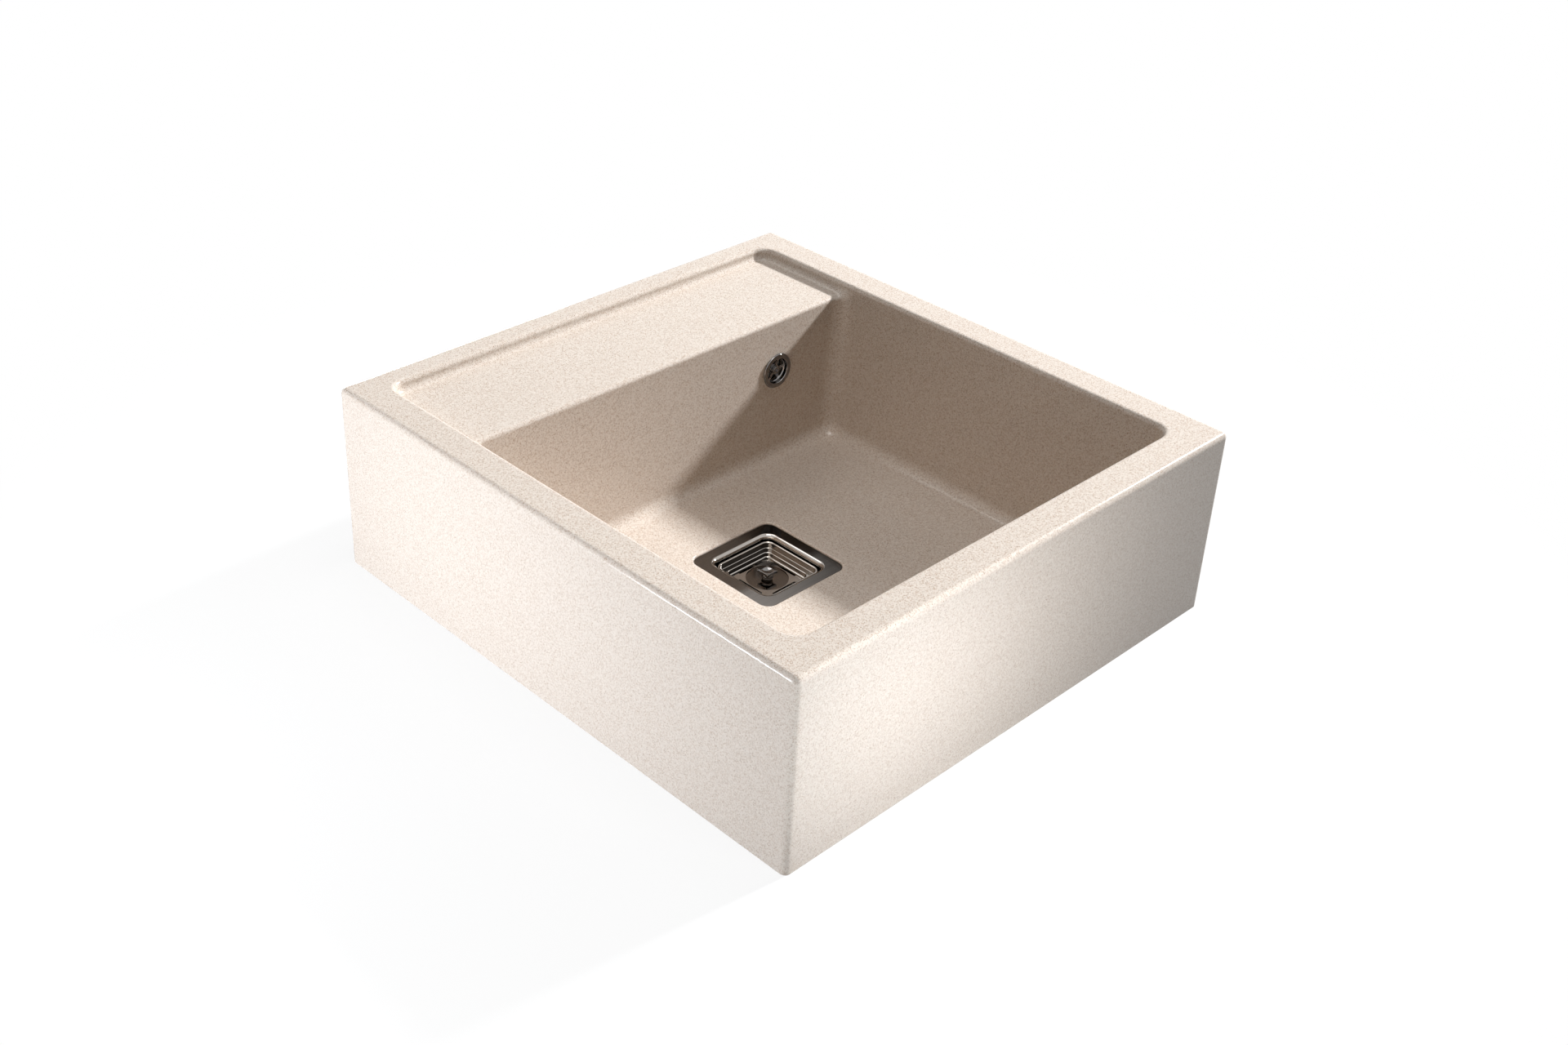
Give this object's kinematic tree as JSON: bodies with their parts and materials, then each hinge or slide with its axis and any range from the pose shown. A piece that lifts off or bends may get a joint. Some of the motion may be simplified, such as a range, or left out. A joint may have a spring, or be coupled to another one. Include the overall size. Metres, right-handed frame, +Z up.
{
  "type": "kitchen sink",
  "caption": "Deep square-fronted composite granite kitchen sink with one bowl, a rear tap ledge, a square lift-out basket strainer, a round overflow and its waste fittings.",
  "frame": {"origin": "centre of the footprint, in the plane of the skirt's lower edge, which sits on the cabinet", "axes": "+X to the user's right, +Y to the rear ledge, +Z up along the drain"},
  "size_m": [0.59, 0.62, 0.2762],
  "materials": {
    "composite": "satin, fine speckle",
    "satin_steel": "brushed",
    "polished_steel": "polished",
    "chrome": "mirror",
    "seal_rubber": "matt",
    "white_plastic": "moulded",
    "brass": "turned"
  },
  "bodies": {
    "sink": {"sink_body": "composite", "strainer_body": "satin_steel", "fixing_screw": "polished_steel", "overflow_cover": "chrome", "overflow_screw": "chrome", "flange_seal": "seal_rubber", "lower_seal": "seal_rubber", "screw_washer": "seal_rubber", "overflow_front_seal": "seal_rubber", "overflow_rear_seal": "seal_rubber", "waste_housing": "white_plastic", "overflow_elbow": "white_plastic", "housing_insert": "brass", "overflow_insert": "brass"},
    "basket": {"strainer_basket": "polished_steel", "basket_knob": "chrome", "basket_stem": "polished_steel", "stem_ring": "seal_rubber", "seal_plate": "polished_steel", "basket_seal": "seal_rubber", "stem_nut": "polished_steel"}
  },
  "joints": [
    {"name": "basket_lift", "type": "slide", "parent": "sink", "child": "basket", "axis": [0, 0, 1], "range_m": [0, 0.26]}
  ]
}
